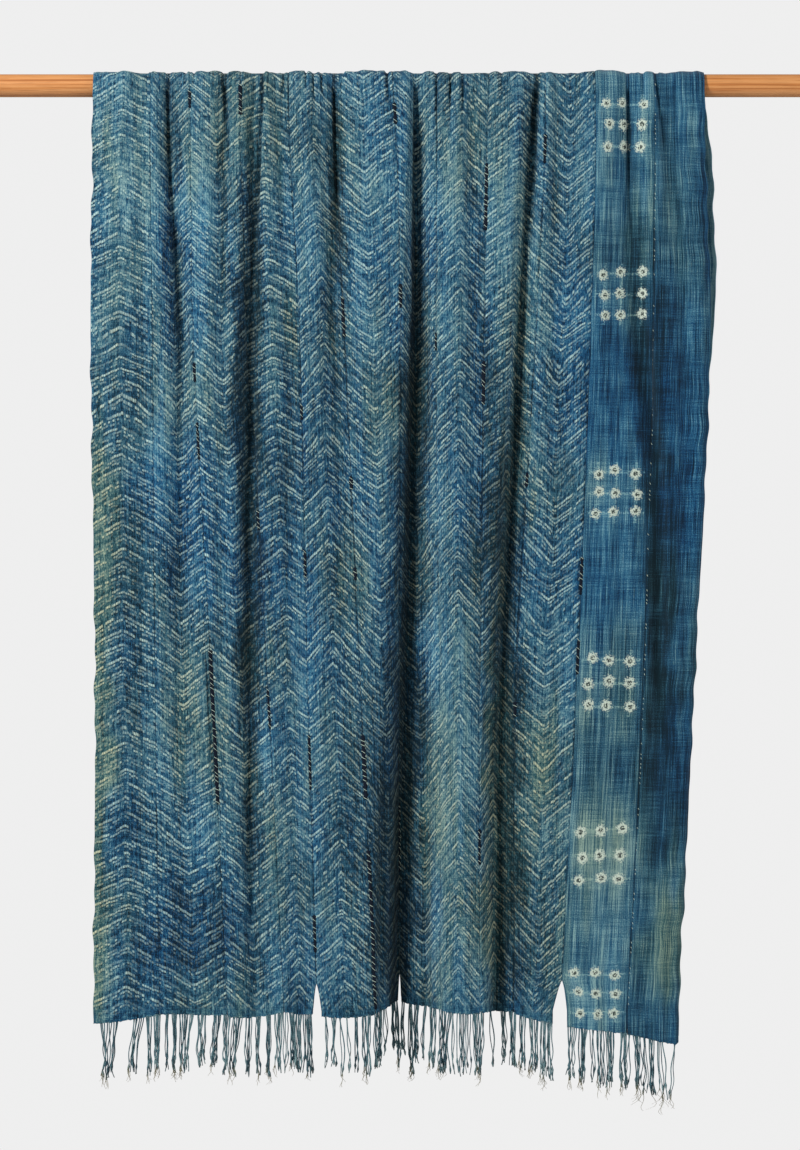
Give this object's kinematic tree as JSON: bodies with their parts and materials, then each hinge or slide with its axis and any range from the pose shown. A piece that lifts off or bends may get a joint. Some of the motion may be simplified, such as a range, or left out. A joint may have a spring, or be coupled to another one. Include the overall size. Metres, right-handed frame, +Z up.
{
  "type": "throw blanket draped over a wooden rod",
  "caption": "Narrow-strip woven throw blanket with fringed ends, draped in soft vertical folds over a plain round wooden rod.",
  "frame": {"origin": "on the rod's axis, half-way along the rod", "axes": "+Z up, +X along the rod to the right as seen from the front, long front drop of the cloth on the -Y side"},
  "size_m": [1.24, 0.0741, 1.4482],
  "materials": {
    "indigo_cloth": "hand-woven cotton, resist-dyed in indigo with pale chevrons",
    "deep_indigo_cloth": "hand-woven cotton, dyed plain indigo",
    "fringe_yarn": "twisted cotton warp ends, indigo with pale tips",
    "rod_wood": "smooth orange-brown wood, satin"
  },
  "bodies": {
    "root": {"rod": "rod_wood", "strip_01": "indigo_cloth", "strip_02": "indigo_cloth", "strip_03": "indigo_cloth", "strip_04": "indigo_cloth", "strip_05": "indigo_cloth", "strip_06": "indigo_cloth", "strip_07": "indigo_cloth", "strip_08": "indigo_cloth", "strip_09": "indigo_cloth", "strip_10": "indigo_cloth", "strip_11": "deep_indigo_cloth", "strip_12": "deep_indigo_cloth", "fringe_front_01": "fringe_yarn", "fringe_front_02": "fringe_yarn", "fringe_front_03": "fringe_yarn", "fringe_front_04": "fringe_yarn", "fringe_front_05": "fringe_yarn", "fringe_front_06": "fringe_yarn", "fringe_front_07": "fringe_yarn", "fringe_front_08": "fringe_yarn", "fringe_front_09": "fringe_yarn", "fringe_front_10": "fringe_yarn", "fringe_front_11": "fringe_yarn", "fringe_front_12": "fringe_yarn", "fringe_back_01": "fringe_yarn", "fringe_back_04": "fringe_yarn", "fringe_back_07": "fringe_yarn", "fringe_back_10": "fringe_yarn"}
  },
  "joints": []
}
